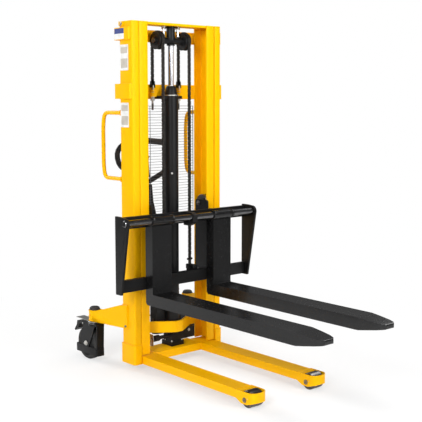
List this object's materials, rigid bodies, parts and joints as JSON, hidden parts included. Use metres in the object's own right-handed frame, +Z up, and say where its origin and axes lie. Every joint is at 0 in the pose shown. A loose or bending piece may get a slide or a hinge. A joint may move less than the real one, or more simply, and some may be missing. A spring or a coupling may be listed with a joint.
{
  "type": "walkie stacker",
  "caption": "Manual hydraulic walkie stacker: straddle-leg base on casters, telescopic two-stage mast lifted by chains, sliding forks on a shaft, pump tiller.",
  "frame": {"origin": "centre of the footprint on the floor, under the middle of the machine's length", "axes": "+Z up, -Y towards the fork tips, +Y towards the operator, +X to the right seen from behind the forks' load towards the operator"},
  "size_m": [0.884, 1.7487, 1.807],
  "materials": {
    "yellow_paint": "glossy yellow enamel, lightly chipped",
    "black_paint": "satin black enamel",
    "shaft_steel": "dark turned steel, greased",
    "chrome_rod": "hard chrome",
    "chain_steel": "oiled chain steel",
    "rubber": "moulded black rubber",
    "bare_steel": "zinc plated steel",
    "wire_steel": "black coated wire"
  },
  "bodies": {
    "chassis": {"base_crossbeam": "yellow_paint", "crossbeam_mid": "yellow_paint", "crossbeam_upper": "yellow_paint", "mesh_guard": "wire_steel", "cylinder_tube": "black_paint", "cylinder_clamp": "black_paint", "pump_block": "black_paint", "pump_body": "black_paint", "upright_left": "yellow_paint", "leg_left": "yellow_paint", "chain_anchor_left": "bare_steel", "caster_arm_left": "yellow_paint", "caster_cap_left": "rubber", "side_handle_left": "yellow_paint", "upright_right": "yellow_paint", "leg_right": "yellow_paint", "chain_anchor_right": "bare_steel", "caster_arm_right": "yellow_paint", "caster_cap_right": "rubber", "side_handle_right": "yellow_paint"},
    "inner_mast": {"inner_head_bar": "yellow_paint", "inner_tie_bar": "yellow_paint", "inner_channel_left": "yellow_paint", "guide_stud_left": "chrome_rod", "inner_channel_right": "yellow_paint", "guide_stud_right": "chrome_rod"},
    "lift_carrier": {"lift_rod": "chrome_rod", "lift_head": "black_paint", "chain_rear_left": "chain_steel", "chain_rear_right": "chain_steel"},
    "chain_run": {"chain_front_left": "chain_steel", "chain_front_right": "chain_steel"},
    "carriage": {"carriage_frame": "black_paint", "fork_shaft": "shaft_steel", "carriage_bracket_left": "black_paint", "chain_clevis_left": "chain_steel", "carriage_bracket_right": "black_paint", "chain_clevis_right": "chain_steel"},
    "fork_left_body": {"fork_left": "black_paint"},
    "fork_right_body": {"fork_right": "black_paint"},
    "guide_roller_left_upper": {"carriage_roller_left_upper": "bare_steel"},
    "guide_roller_left_lower": {"carriage_roller_left_lower": "bare_steel"},
    "pulley_left": {"chain_pulley_left": "black_paint"},
    "caster_left": {"caster_yoke_left": "black_paint"},
    "wheel_left": {"caster_wheel_left": "rubber"},
    "brake_left": {"caster_brake_left": "black_paint"},
    "load_wheel_left": {"load_roller_left": "bare_steel"},
    "guide_roller_right_upper": {"carriage_roller_right_upper": "bare_steel"},
    "guide_roller_right_lower": {"carriage_roller_right_lower": "bare_steel"},
    "pulley_right": {"chain_pulley_right": "black_paint"},
    "caster_right": {"caster_yoke_right": "black_paint"},
    "wheel_right": {"caster_wheel_right": "rubber"},
    "brake_right": {"caster_brake_right": "black_paint"},
    "load_wheel_right": {"load_roller_right": "bare_steel"},
    "tiller": {"tiller_stem": "black_paint", "tiller_grip": "black_paint"},
    "release": {"release_lever": "black_paint"},
    "plunger": {"pump_plunger": "chrome_rod"}
  },
  "joints": [
    {"name": "mast_lift", "type": "slide", "parent": "chassis", "child": "inner_mast", "axis": [0, 0, 1], "range_m": [0, 0.8]},
    {"name": "free_lift", "type": "slide", "parent": "inner_mast", "child": "lift_carrier", "axis": [0, 0, -1], "range_m": [0, 0.165], "deforming": ["chain_rear_left", "chain_rear_right"]},
    {"name": "chain_run_slide", "type": "slide", "parent": "lift_carrier", "child": "chain_run", "axis": [0, 0, 1], "range_m": [0, 0.8], "deforming": ["chain_front_left", "chain_front_right"]},
    {"name": "carriage_slide", "type": "slide", "parent": "chain_run", "child": "carriage", "axis": [0, 0, -1], "range_m": [0, 0.165]},
    {"name": "fork_slide_left", "type": "slide", "parent": "carriage", "child": "fork_left_body", "axis": [-1, 0, 0], "range_m": [-0.117, 0.147]},
    {"name": "fork_slide_right", "type": "slide", "parent": "carriage", "child": "fork_right_body", "axis": [1, 0, 0], "range_m": [-0.117, 0.147]},
    {"name": "guide_roller_spin_left_upper", "type": "hinge", "parent": "carriage", "child": "guide_roller_left_upper", "pos_m": [-0.2215, 0.4315, 0.852], "axis": [1, 0, 0], "continuous": true},
    {"name": "guide_roller_spin_left_lower", "type": "hinge", "parent": "carriage", "child": "guide_roller_left_lower", "pos_m": [-0.2215, 0.4315, 0.477], "axis": [1, 0, 0], "continuous": true},
    {"name": "guide_roller_spin_right_upper", "type": "hinge", "parent": "carriage", "child": "guide_roller_right_upper", "pos_m": [0.2215, 0.4315, 0.852], "axis": [1, 0, 0], "continuous": true},
    {"name": "guide_roller_spin_right_lower", "type": "hinge", "parent": "carriage", "child": "guide_roller_right_lower", "pos_m": [0.2215, 0.4315, 0.477], "axis": [1, 0, 0], "continuous": true},
    {"name": "pulley_spin_left", "type": "hinge", "parent": "lift_carrier", "child": "pulley_left", "pos_m": [-0.088, 0.4385, 1.72], "axis": [1, 0, 0], "continuous": true},
    {"name": "pulley_spin_right", "type": "hinge", "parent": "lift_carrier", "child": "pulley_right", "pos_m": [0.088, 0.4385, 1.72], "axis": [1, 0, 0], "continuous": true},
    {"name": "caster_swivel_left", "type": "hinge", "parent": "chassis", "child": "caster_left", "pos_m": [-0.3265, 0.7025, 0.21], "axis": [0, 0, 1], "continuous": true},
    {"name": "caster_spin_left", "type": "hinge", "parent": "caster_left", "child": "wheel_left", "pos_m": [-0.3265, 0.7545, 0.09], "axis": [1, 0, 0], "continuous": true},
    {"name": "brake_pedal_left", "type": "hinge", "parent": "caster_left", "child": "brake_left", "pos_m": [-0.3265, 0.78, 0.205], "axis": [-1, 0, 0], "range_deg": [0, 12]},
    {"name": "load_wheel_spin_left", "type": "hinge", "parent": "chassis", "child": "load_wheel_left", "pos_m": [-0.2055, -0.412, 0.041], "axis": [1, 0, 0], "continuous": true},
    {"name": "caster_swivel_right", "type": "hinge", "parent": "chassis", "child": "caster_right", "pos_m": [0.3265, 0.7025, 0.21], "axis": [0, 0, 1], "continuous": true},
    {"name": "caster_spin_right", "type": "hinge", "parent": "caster_right", "child": "wheel_right", "pos_m": [0.3265, 0.7545, 0.09], "axis": [1, 0, 0], "continuous": true},
    {"name": "brake_pedal_right", "type": "hinge", "parent": "caster_right", "child": "brake_right", "pos_m": [0.3265, 0.78, 0.205], "axis": [-1, 0, 0], "range_deg": [0, 12]},
    {"name": "load_wheel_spin_right", "type": "hinge", "parent": "chassis", "child": "load_wheel_right", "pos_m": [0.2055, -0.412, 0.041], "axis": [1, 0, 0], "continuous": true},
    {"name": "tiller_tilt", "type": "hinge", "parent": "chassis", "child": "tiller", "pos_m": [0, 0.5485, 0.277], "axis": [-1, 0, 0], "range_deg": [0, 50], "stiffness_Nm_per_rad": 25, "springref_deg": -20.05},
    {"name": "release_tilt", "type": "hinge", "parent": "tiller", "child": "release", "pos_m": [0, 0.6375, 0.989], "axis": [-1, 0, 0], "range_deg": [0, 12], "stiffness_Nm_per_rad": 0.6, "springref_deg": -20.05},
    {"name": "plunger_slide", "type": "slide", "parent": "chassis", "child": "plunger", "axis": [0, 0, -1], "range_m": [0, 0.0245]}
  ],
  "couplings": [
    {"joint": "chain_run_slide", "follows": "mast_lift", "ratio": 1},
    {"joint": "carriage_slide", "follows": "free_lift", "ratio": 1},
    {"joint": "plunger_slide", "follows": "tiller_tilt", "m_per_rad": 0.0275},
    {"joint": "pulley_spin_left", "follows": "mast_lift", "rad_per_m": -21.978},
    {"joint": "pulley_spin_right", "follows": "mast_lift", "rad_per_m": -21.978}
  ]
}
